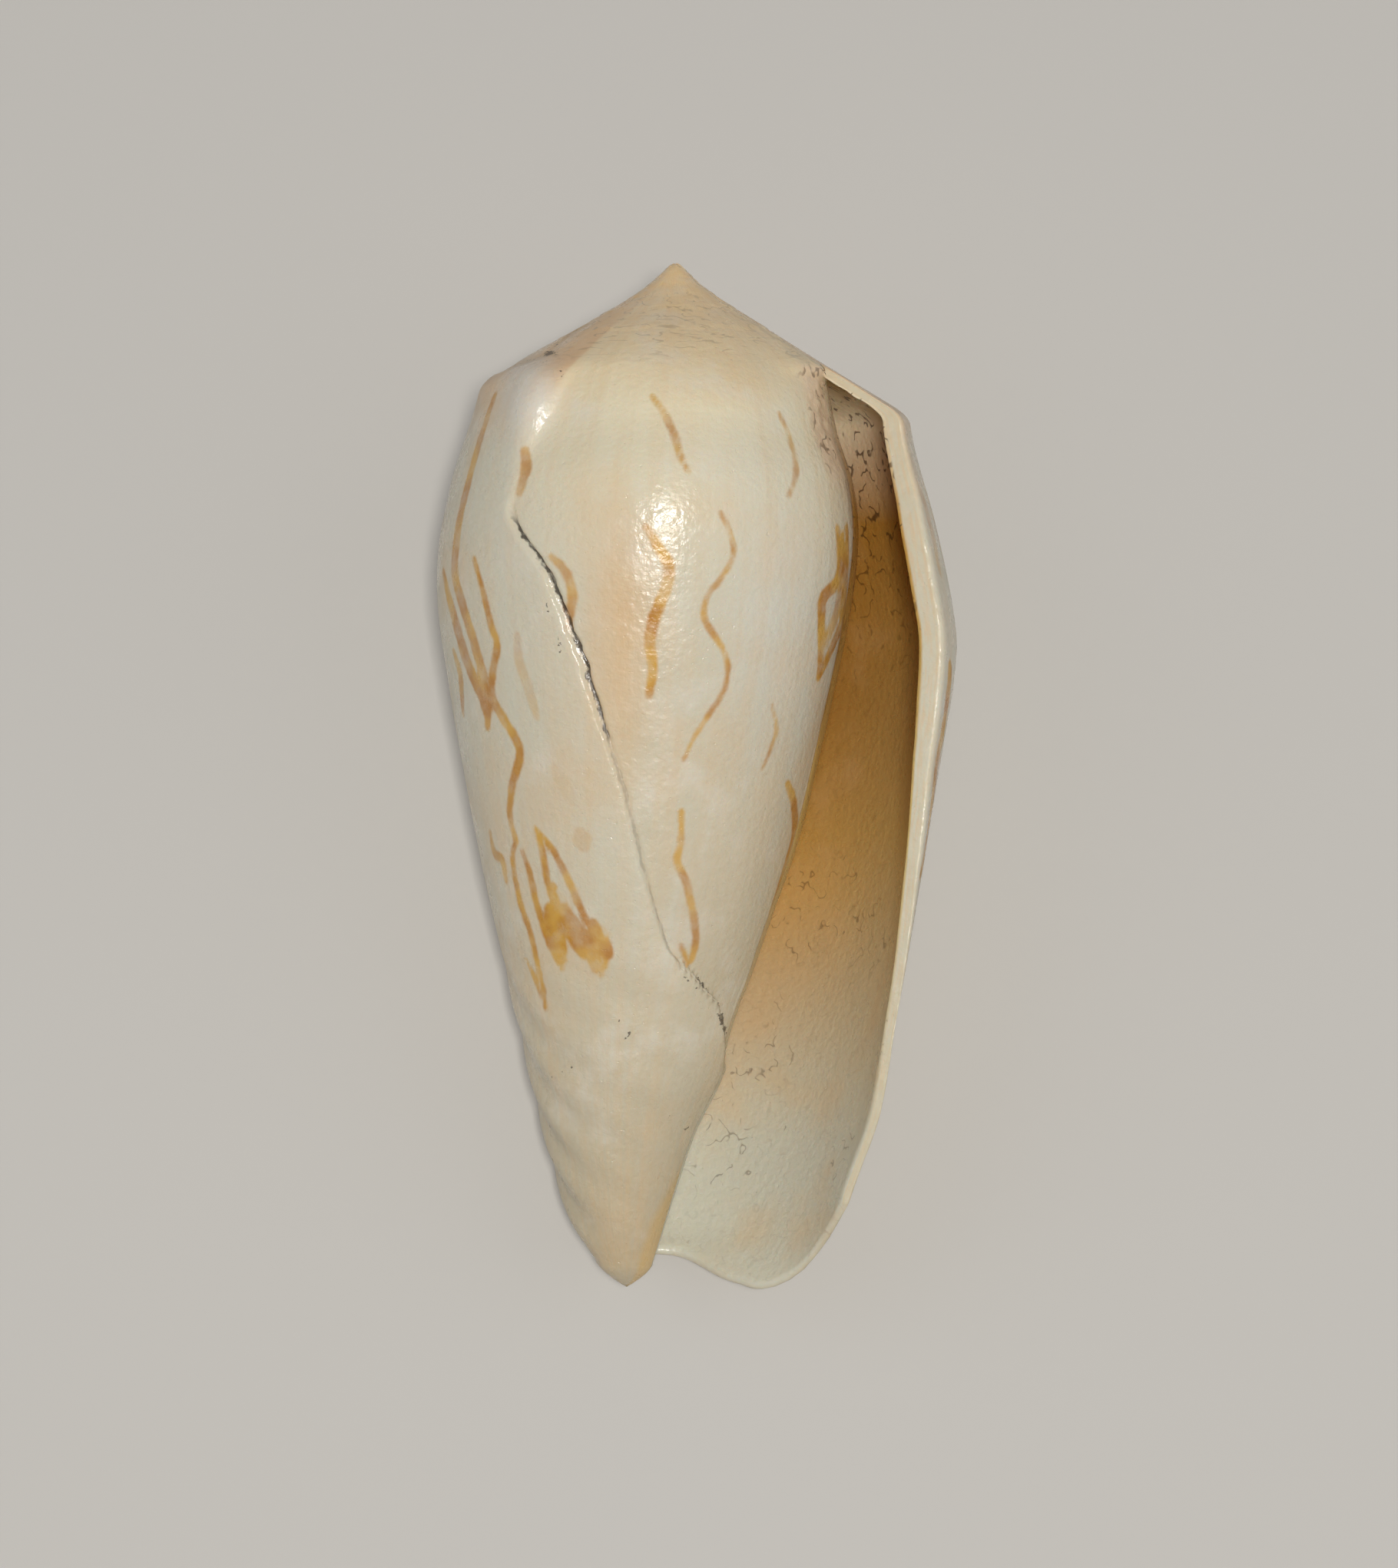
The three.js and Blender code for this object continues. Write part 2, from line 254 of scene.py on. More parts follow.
def outer_radius(turn, depth):
    ramp = spire_radius(depth)
    wall = body_radius(turn, depth) + step_relief(turn, depth)
    wall = wall + fine_relief(turn, depth, wall)
    worn = rounded_min(ramp, wall, WORN_SHOULDER_ROUND)
    crisp = mix(ramp, rounded_min(ramp, wall, SHOULDER_ROUND), ease((depth - SUTURE_DEPTH) / 1.2))
    share = ease((turn - MOUTH_TURN - 2) / 30) * ease((188 - turn) / 105)
    return mix(crisp, worn, share)


def place(turn, radius, depth):
    """A point from its turn, radius and depth, with x right, y to the apex, z to the front."""
    angle = np.radians(turn)
    depth = depth + 0 * angle
    return np.stack([bend(depth) + radius * np.cos(angle), -depth, radius * np.sin(angle)], -1)


# ---- The hollow ----
def core_radius(turn, depth):
    shrink = CORE_SHRINK_PER_TURN ** ((turn - LIP_TURN) / 360)
    return outer_radius(MOUTH_TURN, depth) * shrink


def hollow_radius(turn, depth):
    under_ramp = spire_radius(depth - RAMP_THICKNESS)
    wall = body_radius(turn, depth) - wall_thickness(depth)
    core = core_radius(turn, depth)
    gap = rounded_min(under_ramp, wall, SHOULDER_ROUND) - core
    along = np.clip((turn - hollow_end(depth)) / HOLLOW_ROUND, 0, 1)
    return core + np.maximum(gap, LEAST_GAP) * np.sqrt(1 - (1 - along) ** 2)


def hollow_top(turn):
    """Depth at which the underside of the ramp meets the core."""
    above = SUTURE_DEPTH + 0 * turn
    below = above + 3
    for _ in range(30):
        depth = (above + below) / 2
        open_here = spire_radius(depth - RAMP_THICKNESS) > core_radius(turn, depth)
        below = np.where(open_here, depth, below)
        above = np.where(open_here, above, depth)
    return above


# ---- Grids of points ----
TOP = float(hollow_top(np.array(float(LIP_TURN))))


def row_share(row):
    """Rows crowd under the ramp and thin out down the wall: 0 at the top, 1 at the base."""
    return 0.6 * (row / WALL_ROWS) + 0.4 * (row / WALL_ROWS) ** 2.2


def column_turn(column, depth):
    """Turn of a column; the middle ones keep to the two sides of the step's edge."""
    edge = edge_turn(np.minimum(depth, STEP_EDGE_DEPTH))
    front = np.clip(column / FRONT_COLUMNS, 0, 1)
    front = 0.6 * front + 0.4 * (1 - (1 - front) ** 2)
    rest = np.clip((column - FRONT_COLUMNS - 1) / (REST_COLUMNS - 1), 0, 1)
    rest = 0.5 * rest + 0.5 * rest ** 2
    return np.where(column <= FRONT_COLUMNS, mix(MOUTH_TURN, edge - EDGE_HALF, front),
                    mix(edge + EDGE_HALF, lip_turn(depth), rest))


class Skin:
    """The points and faces of one closed surface, gathered patch by patch."""

    def __init__(self):
        self.points, self.faces, self.facts, self.count = [], [], [], 0

    def add(self, points, turn, depth, inside=0.0, broken=0.0):
        """Adds points with their facts, and returns their numbers in the same shape."""
        shape = points.shape[:-1]
        facts = [np.broadcast_to(fact, shape) for fact in (turn, depth, inside, broken)]
        self.points.append(points.reshape(-1, 3))
        self.facts.append(np.stack(facts, -1).reshape(-1, 4))
        numbers = np.arange(self.count, self.count + int(np.prod(shape))).reshape(shape)
        self.count += numbers.size
        return numbers

    def strip(self, first, second):
        """Joins two runs of points of the same length."""
        for i in range(len(first) - 1):
            loop = [first[i], first[i + 1], second[i + 1], second[i]]
            kept = [n for k, n in enumerate(loop) if n != loop[k - 1]]
            if len(kept) > 2:
                self.faces.append([int(n) for n in kept])

    def fan(self, centre, run):
        for first, second in zip(run[:-1], run[1:]):
            self.faces.append([int(centre), int(first), int(second)])

    def sheet(self, rows):
        for above, below in zip(rows[:-1], rows[1:]):
            self.strip(above, below)


def outside(skin):
    """The spire and the wall. Returns the rows from the suture to the wall, and the wall's."""
    columns = np.arange(COLUMNS + 1)
    ring_turn = column_turn(columns, TOP)
    share = np.linspace(0, 1, SPIRE_ROWS + 1)[1:, None]
    radius = SUTURE_RADIUS * mix(share ** 1.3, share, share)
    depth = spire_depth(radius)
    turn = ring_turn[None, :] + 0 * radius
    radius = radius + outer_radius(turn, depth + 0 * turn) - spire_radius(depth)
    spire = skin.add(place(turn, radius, depth)[:, :-1], turn[:, :-1], depth)
    spire = np.concatenate([spire, spire[:, :1]], 1)
    apex = skin.add(place(np.zeros(1), 0.0, np.zeros(1)), 0.0, 0.0)
    skin.strip(np.repeat(apex, COLUMNS + 1), spire[0])
    skin.sheet(spire)
    row, column = np.meshgrid(np.arange(1, COLLAR_ROWS), columns, indexing="ij")
    depth = mix(SUTURE_DEPTH, TOP, row / COLLAR_ROWS)
    turn = column_turn(column, depth)
    collar = skin.add(place(turn, outer_radius(turn, depth), depth), turn, depth)
    row, column = np.meshgrid(np.arange(WALL_ROWS + 1), columns, indexing="ij")
    depth = mix(TOP, base_edge(column_turn(column, float(LENGTH))), row_share(row))
    turn = column_turn(column, depth)
    wall = skin.add(place(turn, outer_radius(turn, depth), depth), turn, depth)
    collar = np.concatenate([spire[-1:], collar, wall[:1]], 0)
    skin.sheet(collar)
    skin.sheet(wall)
    return collar, wall


def hollow(skin, wall):
    """The inside of the last whorl. Returns the rows of its pillar side and its outer side."""
    column = np.arange(HOLLOW_COLUMN, COLUMNS + 1)[None, :]
    row = np.arange(WALL_ROWS + 1)[:, None]
    share = (COLUMNS - column) / HOLLOW_COLUMNS
    foot = column_turn(column, float(LENGTH)) + DEAD_END_SKEW * share
    reach = LIP_TURN - foot[0, 0]

    def turn_at(depth):
        lip = lip_turn(depth)
        return lip - (LIP_TURN - foot) * (lip - hollow_end(depth)) / reach

    top = hollow_top(turn_at(TOP))
    depth = mix(top, TIP_RING_DEPTH, row_share(row))
    turn = turn_at(depth)
    inner = place(turn, core_radius(turn, depth), depth)[:, :-1]
    core = skin.add(inner, turn[:, :-1], depth[:, :-1], inside=1.0)
    core = np.concatenate([core, wall[:, :1]], 1)
    base = base_edge(column_turn(column, float(LENGTH)))
    depth = mix(top, base, row_share(row))[1:, 1:]
    turn = turn_at(mix(top, base, row_share(row)))[1:, 1:]
    far = skin.add(place(turn, hollow_radius(turn, depth), depth), turn, depth, inside=1.0)
    far = np.concatenate([core[1:, :1], far], 1)
    far = np.concatenate([core[:1], far], 0)
    skin.sheet(core[:, ::-1])
    skin.sheet(far)
    return core, far


def between(skin, first, second, rows, broken, bulge):
    """Rows of new points between two runs, pushed out in the middle by the bulge."""
    points = np.concatenate(skin.points)
    facts = np.concatenate(skin.facts)
    result = [first]
    for i in range(1, rows):
        t = i / rows
        new = mix(points[first], points[second], t) + bulge * 4 * t * (1 - t)
        known = mix(facts[first], facts[second], t)
        result.append(skin.add(new, known[..., 0], known[..., 1], known[..., 2], broken))
    return result + [second]


def edges(skin, collar, wall, core, far):
    """The broken face of the lip, the edge round the base and the blunt tip of the pillar."""
    foot = wall[-1, HOLLOW_COLUMN:]
    rim = between(skin, foot, far[-1], EDGE_ROWS, 0.6, np.array([0, -0.35, 0]))
    skin.sheet(rim)
    outer, inner = wall[::-1, -1], far[::-1, -1]
    lip = between(skin, outer, inner, EDGE_ROWS, 1.0, np.zeros(3))
    for i in range(1, EDGE_ROWS):
        lip[i][0] = rim[i][-1]
    skin.sheet(lip)
    top = [row[-1] for row in lip]
    skin.fan(collar[0, 0], top[1:-1])
    skin.fan(top[1], collar[:, -1])
    skin.fan(top[-2], collar[:, 0])
    steps = [row[0] for row in rim]
    loop = np.concatenate([wall[-1, :HOLLOW_COLUMN], steps, core[-1, 1:]])
    tip(skin, loop)


def tip(skin, loop):
    points = np.concatenate(skin.points)[loop]
    facts = np.concatenate(skin.facts)[loop]
    end = place(np.zeros(1), 0.0, np.array([float(LENGTH)]))[0]
    rings = [loop]
    for i in range(1, TIP_ROWS):
        share = i / TIP_ROWS
        spread = 1 - share ** 1.6
        new = np.stack([mix(end[0], points[:, 0], spread), mix(points[:, 1], end[1], share),
                        points[:, 2] * spread], -1)[:-1]
        ring = skin.add(new, facts[:-1, 0], facts[:-1, 1], 0.0, 0.3)
        rings.append(np.append(ring, ring[0]))
    rings[0] = np.append(loop[:-1], loop[0])
    skin.sheet(rings)
    apex = skin.add(end[None], 0.0, float(LENGTH), 0.0, 0.3)
    skin.strip(rings[-1], np.repeat(apex, len(loop)))


# ---- The shell as one mesh ----
def bump(points, centre, sizes, height):
    """A soft swelling about a point."""
    away = (points - np.array(centre)) / np.array(sizes)
    return height * np.exp(-np.sum(away ** 2, -1))


def sutures(points, turn):
    """The low steps of the spire's whorls, worn nearly away."""
    radius = np.maximum(np.hypot(points[:, 0], points[:, 2]), 0.3)
    whorls = np.log(radius / SPIRE_SUTURE) / np.log(SPIRE_GROWTH) - turn / 360
    part = whorls - np.floor(whorls)
    return SPIRE_RELIEF * (part ** 3 - 0.25 - 0.8 * np.exp(-(part / 0.06) ** 2))


def surface_noise(points, facts):
    """How far each point stands off the smooth shape, in millimetres."""
    turn, depth, inside, broken = facts.T
    outer = 1 - inside
    swell = 0.07 * field(points, 9) + 0.035 * field(points, 3.5, 4.1)
    mouth = np.exp(-((turn - MOUTH_TURN - 6) / 9) ** 2) * ease((14 - depth) / 4) * outer
    scar = mouth * (0.13 * field(points, 0.9, 2.2) + 0.07 * field(points, 0.45, 8.8))
    under = inside * ease((13 - depth) / 5) * ease((turn - 340) / 20)
    wrinkles = under * 0.09 * field(points * [1, 0.6, 1], 0.8, 5.5)
    chipped = 0.05 * field(points, 0.8, 3.3) * np.minimum(broken, 1)
    bulge = bump(points, *BULGE) * outer
    groove = -0.14 * near_path(points, SHOULDER_GROOVE, 0.3) * outer
    callus = bump(points, *CALLUS) * outer
    ramp = outer * ease((SUTURE_DEPTH - depth) / 1.5) * sutures(points, turn)
    return swell + scar + wrinkles + chipped + bulge + callus + ramp + groove


def vertex_normals(points, faces):
    quads = np.array([face + face[-1:] * (4 - len(face)) for face in faces])
    across = points[quads[:, 2]] - points[quads[:, 0]]
    down = points[quads[:, 3]] - points[quads[:, 1]]
    normal = np.cross(across, down)
    total = np.zeros_like(points)
    for corner in range(4):
        np.add.at(total, quads[:, corner], normal)
    return total / np.maximum(np.linalg.norm(total, axis=1, keepdims=True), 1e-12)


def lay_down(points):
    """Tips the shell onto its back, wears it flat underneath, and puts it in the CAD box."""
    tilt = np.radians(PITCH)
    x, y, z = points.T
    y, z = y * np.cos(tilt) - z * np.sin(tilt), y * np.sin(tilt) + z * np.cos(tilt)
    ground = z.min() + WORN_DEPTH
    low, high = np.array(CAD_BOX)
    shift = [(low[0] + high[0]) / 2 / MM - (x.min() + x.max()) / 2,
             (low[1] + high[1]) / 2 / MM - (y.min() + y.max()) / 2, -ground]
    laid = np.stack([x, y, np.maximum(z, ground)], -1) + shift
    return laid * MM, np.array(shift)


def to_world(point, shift):
    """A place on the shell, in its own millimetres, as a point of the scene in metres."""
    tilt = np.radians(PITCH)
    x, y, z = point
    turned = [x, y * np.cos(tilt) - z * np.sin(tilt), y * np.sin(tilt) + z * np.cos(tilt)]
    return Vector((np.array(turned) + shift) * MM)


def make_skin():
    skin = Skin()
    collar, wall = outside(skin)
    core, far = hollow(skin, wall)
    edges(skin, collar, wall, core, far)
    return np.concatenate(skin.points), np.concatenate(skin.facts), skin.faces


# ---- Marks: wavy lines, painted where they run ----
# Each line is its half width, its strength and its points [x, depth] as seen from the front.
FRONT_LINES = [
    (0.25, 0.75, [(-1.2, 9.2), (-0.5, 10.3), (0.2, 11.8), (0.5, 13), (1, 14)]),
    (0.25, 0.7, [(6.6, 10), (7.2, 11.3), (7.6, 12.8), (7.6, 14), (7.2, 15.2)]),
    (0.42, 0.75, [(-9, 12.6), (-8.9, 13.8), (-9.3, 15.2)]),
    (0.34, 0.8, [(-7.2, 19.2), (-6.4, 20), (-5.9, 21.3), (-6, 22.5), (-6.2, 23.6)]),
    (0.38, 0.95, [(-1.4, 17.4), (-0.7, 18.5), (0, 19.8), (-0.2, 21.2), (-0.8, 22.7), (-1.1, 24.2),
                  (-0.9, 26), (-1.1, 27.6)]),
    (0.2, 0.8, [(3, 16.4), (3.7, 17.7), (3.9, 19), (3.3, 20.2), (2.4, 21.5), (2.2, 22.7),
                 (2.7, 23.7), (3.4, 24.7), (3.7, 25.8), (3.5, 27.2), (2.6, 28.7), (1.7, 30.2),
                 (1.1, 31.5)]),
    (0.5, 0.9, [(10.4, 17), (10.5, 20), (9.6, 21.2), (9.5, 22.7), (9.4, 26)]),
    (0.5, 0.9, [(11, 16.8), (11, 20.6), (10.8, 22.7), (10.2, 24.3), (9.4, 26.2)]),
    (0.6, 0.6, [(10.7, 17.4), (10.8, 20), (10.5, 22), (9.8, 24)]),
    (0.18, 0.7, [(6.5, 28.1), (6.8, 29.5), (6.5, 30.6), (6, 32)]),
    (0.26, 0.8, [(1, 34.7), (1, 36.5), (0.8, 37.8), (1.4, 39.2), (1.8, 41), (2, 43), (1.6, 44.1),
                 (1.1, 43.1)]),
    (0.45, 0.85, [(7.6, 32.9), (8.1, 34.4), (8.1, 36.2), (7.7, 38.3), (7, 40.9)]),
    (0.55, 0.8, [(-11.1, 9), (-11.8, 11.2), (-12.6, 14.2), (-13.2, 17), (-13.4, 20), (-12.9, 22),
                (-12.2, 24.2), (-11.6, 26.2), (-11.2, 28), (-11.2, 29.6)]),
    (0.38, 0.9, [(-12.1, 19.3), (-11.5, 21.3), (-11, 23.4), (-10.6, 24.6), (-10.9, 26.4),
                  (-10.9, 27.8), (-10.2, 29.1), (-9.3, 30.5), (-9.1, 31.7), (-9.6, 33.4),
                  (-9.7, 35.2), (-9.3, 36.8)]),
    (0.6, 0.85, [(-14.2, 20), (-13.8, 21.6), (-13.3, 23.4), (-12.6, 25.6), (-11.7, 27.5),
                  (-11.3, 28.8)]),
    (0.45, 0.8, [(-13.5, 25), (-13.1, 26.4), (-12.9, 28.8)]),
    (0.4, 0.35, [(-9.3, 24), (-9.2, 25.5), (-8.6, 27.2), (-8, 29)]),
    (0.28, 0.9, [(-9.3, 36.8), (-9.5, 37.9), (-9, 40.6), (-8.3, 42.6), (-7.8, 44.7), (-7.3, 47.2)]),
    (0.24, 0.8, [(-8.6, 44.2), (-8, 45.4), (-7.6, 46.4)]),
    (0.28, 0.9, [(-8.9, 37.4), (-8.4, 38.7), (-7.9, 40.9), (-7.1, 43.2), (-6.3, 44.7)]),
    (0.27, 0.9, [(-8.1, 35.9), (-7.6, 37.3), (-7.1, 39.9), (-6.2, 42)]),
    (0.27, 0.85, [(-8.1, 35.9), (-6.9, 37.3), (-5.8, 39.4), (-4.9, 41.4), (-3.6, 43.6), (-3.8, 45)]),
    (0.8, 0.95, [(-7, 41), (-6.8, 42.4), (-6.4, 44)]),
    (0.75, 0.85, [(-6, 41.2), (-5.5, 42.4), (-4.9, 43.6)]),
    (0.55, 0.7, [(-5, 42.4), (-4.4, 43.6), (-4.1, 44.6)]),
    (0.7, 0.25, [(-4.4, 41.8), (-3.5, 43.6)]),
    (0.6, 0.14, [(-6.9, 39.6), (-6.2, 41.2), (-5.4, 42)]),
    (0.35, 0.85, [(-11, 36.3), (-10.7, 37.6), (-10.2, 37.9), (-9.9, 39.3)]),
    (0.7, 0.25, [(-5.2, 36.2), (-5, 36.9)]),
    (0.5, 0.12, [(-6.9, 32.2), (-5.7, 34.2)]),
]
# The same on the side beyond the lip, as [turn, depth].
LIP_LINES = [
    (0.9, 1.3, [(377, 25.4), (376, 28.6), (378, 31.2), (377, 34.6), (379, 38.4)]),
    (0.3, 0.9, [(369, 24.2), (367, 27), (370, 30.5), (368, 34), (370, 37.5)]),
    (0.6, 0.45, [(378, 14.2), (377, 17), (378.5, 19.6)]),
    (0.4, 0.4, [(372, 13.4), (370, 17), (371, 20)]),
]
BACK_BANDS = [(13, 30), (33, 47)]
BACK_SEED = 7


LINE_REACH = 0.7


def turn_seen_at(x, depth):
    """The turn at which the front of the shell stands x to the right of the axis."""
    low, high = float(MOUTH_TURN), 195.0
    for _ in range(40):
        turn = (low + high) / 2
        seen = place(np.array(turn), outer_radius(np.array(turn), depth), depth)[0]
        if seen > x:
            low = turn
        else:
            high = turn
    return turn


def back_lines():
    """Wavy lines in two bands round the part of the wall that faces away."""
    rng = np.random.default_rng(BACK_SEED)
    lines = []
    for top, base in BACK_BANDS:
        turn = 192.0
        while turn < 362:
            start = top + rng.uniform(0, 5)
            end = base - rng.uniform(0, 6)
            count = max(int((end - start) / 1.6), 3)
            wave, lean = rng.uniform(0.8, 2.2), rng.uniform(-2.5, 2.5)
            phase = rng.uniform(0, 6.3)
            points = []
            for i in range(count + 1):
                swing = wave * np.sin(phase + i * 1.35) + rng.uniform(-0.7, 0.7)
                points.append((turn + swing + lean * i / count, mix(start, end, i / count)))
            lines.append((rng.uniform(0.13, 0.34), rng.uniform(0.55, 0.95), points))
            if rng.random() < 0.45:
                middle = points[count // 2]
                branch = [middle, (middle[0] + 3, middle[1] + 2), (middle[0] + 4, middle[1] + 4)]
                lines.append((0.2, 0.7, branch))
            turn += rng.uniform(6, 17)
    return lines


def smooth_path(points):
    """Turn and depth along a line, rounded between its points."""
    points = np.array(points, float)
    knots = np.arange(len(points))
    fine = np.linspace(0, len(points) - 1, 4 * (len(points) - 1) + 1)
    turn = smooth_curve(np.stack([knots, points[:, 0]], -1))(fine)
    depth = smooth_curve(np.stack([knots, points[:, 1]], -1))(fine)
    return turn, depth


def all_lines():
    for half, strength, points in FRONT_LINES:
        yield half, strength, [(turn_seen_at(x, depth), depth) for x, depth in points]
    yield from LIP_LINES
    yield from back_lines()


def paint_lines(points, facts, normals):
    """How far inside a line each point is, 0.5 at its edge, and how strong that line is."""
    edge, strong = np.zeros(len(points)), np.zeros(len(points))
    outer = (facts[:, 2] < 0.5) & (facts[:, 3] < 0.5)
    for half, strength, line in all_lines():
        turn, depth = smooth_path(line)
        path = place(turn, outer_radius(turn, depth), depth)
        near = outer & np.all(points > path.min(0) - 2, 1) & np.all(points < path.max(0) + 2, 1)
        chosen = np.flatnonzero(near)
        start, along = path[:-1], np.diff(path, axis=0)
        away = points[chosen, None, :] - start[None]
        t = np.clip(np.sum(away * along, -1) / np.sum(along ** 2, -1), 0, 1)
        offset = away - t[..., None] * along
        facing = normals[chosen][:, None, :]
        offset = offset - np.sum(offset * facing, -1, keepdims=True) * facing
        distance = np.linalg.norm(offset, axis=-1)
        best = distance.argmin(1)
        rows = np.arange(len(chosen))
        share = (best + t[rows, best]) / len(along)
        taper = half * (0.45 + 0.55 * np.sin(np.pi * np.clip(share, 0.04, 0.96)) ** 0.5)
        value = 0.5 + (taper - distance[rows, best]) / LINE_REACH
        better = value > edge[chosen]
        edge[chosen[better]] = value[better]
        strong[chosen] = np.maximum(strong[chosen], strength * (value > 0))
    return np.clip(edge, 0, 1), strong


# ---- Masks for the material ----
# Patches [x, depth, width, height, amount], as seen from the front; the strongest pale one, on the
# callus, is whiter shell with a painted highlight on its crest.
TINTS = [(7, 23, 4, 9, 0.5), (3, 13, 5, 3, 0.25), (-9, 9, 1.9, 2.9, 1), (-9, 18, 2.5, 6, 0.3),
         (-3, 25, 2.8, 9, -0.7), (0, 4, 6, 3, -0.25), (-6, 36, 3, 4, -0.15), (-2, 60, 3, 4, -0.3)]

# Dark streaks: dirt where it has caught, and painted shade in the shoulder groove and beside the
# callus; the width and strength of each streak, and its points [x, depth].
SHOULDER_GROOVE = [(-5.6, 4.1), (-6.4, 4.5), (-7.4, 5.6), (-7.9, 6.3), (-9.6, 6.7), (-11, 7)]
GRIME_AND_SHADE_PATHS = [
    # The first three streaks are painted shade: along the shoulder groove and at the edge of the
    # callus.
    (0.16, 0.62, SHOULDER_GROOVE), (0.2, 1.1, [(-7.9, 6.2), (-7.3, 6.3)]),
    (0.22, 0.75, [(-6.9, 7.4), (-6.9, 7.9)]), (0.2, 0.6, [(-7.5, 22), (-7.1, 23.2)]),
    (0.15, 0.7, [(-6.8, 24), (-6.5, 25.2)]), (0.18, 0.7, [(1.2, 44.9), (2.3, 45.7)]),
    (0.25, 0.8, [(3.6, 47.5), (4, 48.8)]), (0.13, 0.8, [(-0.9, 45.1), (-0.7, 45.1)]),
    (0.13, 0.85, [(-2.3, 49), (-1.9, 48.5)]), (0.12, 0.7, [(-2.9, 47.2), (-2.6, 47.8)]),
    (0.1, 0.75, [(-7, 51.7), (-6.2, 51.2), (-5.4, 50.7)]), (0.16, 0.6, [(1.3, 54.9), (2, 54.5)]),
    (0.12, 0.6, [(0.5, 53.8), (1, 53.6)]), (0.1, 0.6, [(1.6, 52.3), (2.3, 52)]),
    (0.12, 0.55, [(-0.1, 55.1), (0.4, 54.9)]), (0.2, 0.45, [(-3.3, 52.6), (-2.9, 52.2)]),
    (0.12, 0.55, [(-6.1, 55), (-5.8, 54.6)]),
]


def edge_gap(points, facts):
    """How far each point of the outside lies to the left of the step's edge, in millimetres."""
    turn, depth, inside, _ = facts.T
    radius = np.hypot(points[:, 0] - bend(depth), points[:, 2])
    return np.clip(np.radians(turn - edge_turn(depth)) * radius, -5, 5) + 9 * inside


def tint(points, facts):
    """Broad patches that are paler, above 0, or warmer, below 0, than the rest."""
    value = np.zeros(len(points))
    for x, depth, wide, tall, amount in TINTS:
        away = ((points[:, 0] - x) / wide) ** 2 + ((points[:, 1] + depth) / tall) ** 2
        value = value + amount * np.exp(-away)
    return value * (points[:, 2] > 0) * (1 - facts[:, 2])


def near_path(points, path, width):
    """1 on a path of places [x, depth] on the front, falling to 0 beside it."""
    path = np.array(path)
    share = np.zeros(len(points))
    flat = np.stack([points[:, 0], -points[:, 1]], -1)
    for start, end in zip(path[:-1], path[1:]):
        along = end - start
        t = np.clip(((flat - start) @ along) / (along @ along), 0, 1)
        away = np.sum((flat - start - t[:, None] * along) ** 2, -1)
        share = np.maximum(share, np.exp(-away / width ** 2))
    return share * (points[:, 2] > 0)


def grime_and_shade(points, facts):
    """Where dark marks go: painted shade with some dirt in the crevice under the step's edge, in the
    shoulder groove and beside the callus, and dirt in small pits.
    """
    depth, inside = facts[:, 1], facts[:, 2]
    gap = edge_gap(points, facts)
    # A band of painted shade, with some dirt, just right of the step's edge near the base, where the
    # thick layer overhangs.
    rough = ease((depth - 43) / 2) * ease((49.5 - depth) / 1.5)
    shade_and_dirt = 0.7 * rough * np.exp(-((gap + 0.3) / 0.5) ** 2)
    front = (points[:, 2] > 0) * (1 - inside)
    for width, strength, path in GRIME_AND_SHADE_PATHS:
        shade_and_dirt = shade_and_dirt + strength * near_path(points, path, width) * front
    return np.clip(shade_and_dirt, 0, 1)


def make_shell():
    points, facts, faces = make_skin()
    normals = vertex_normals(points, faces)
    points = points + normals * surface_noise(points, facts)[:, None]
    line_edge, line_strength = paint_lines(points, facts, normals)
    masks = {
        "turn": facts[:, 0], "depth": facts[:, 1], "inside": facts[:, 2], "broken": facts[:, 3],
        "line_edge": line_edge, "line_strength": line_strength,
        "grime_and_shade": grime_and_shade(points, facts), "tint": tint(points, facts),
        "layer": ease((facts[:, 0] - edge_turn(facts[:, 1])) / 2 + 0.5),
        "edge_gap": edge_gap(points, facts),
    }
    laid, shift = lay_down(points)
    mesh = bpy.data.meshes.new("shell_surface")
    mesh.from_pydata(laid.tolist(), [], faces)
    for name, values in masks.items():
        layer = mesh.attributes.new(name, "FLOAT", "POINT")
        layer.data.foreach_set("value", np.asarray(values, np.float32))
    piece = bpy.data.objects.new("cone_shell", mesh)
    bpy.context.collection.objects.link(piece)
    tidy(mesh)
    return piece, shift


def tidy(mesh):
    """Drops stray points and turns every face outward."""
    work = bmesh.new()
    work.from_mesh(mesh)
    stray = [v for v in work.verts if not v.link_faces]
    bmesh.ops.delete(work, geom=stray, context="VERTS")
    bmesh.ops.recalc_face_normals(work, faces=work.faces)
    work.to_mesh(mesh)
    work.free()
    mesh.shade_smooth()


# ---- Material ----
def rgb(red, green, blue):
    """A colour from its usual 0 to 255 numbers."""
    shares = np.array([red, green, blue]) / 255
    linear = np.where(shares < 0.04045, shares / 12.92, ((shares + 0.055) / 1.055) ** 2.4)
    return (*linear.tolist(), 1.0)


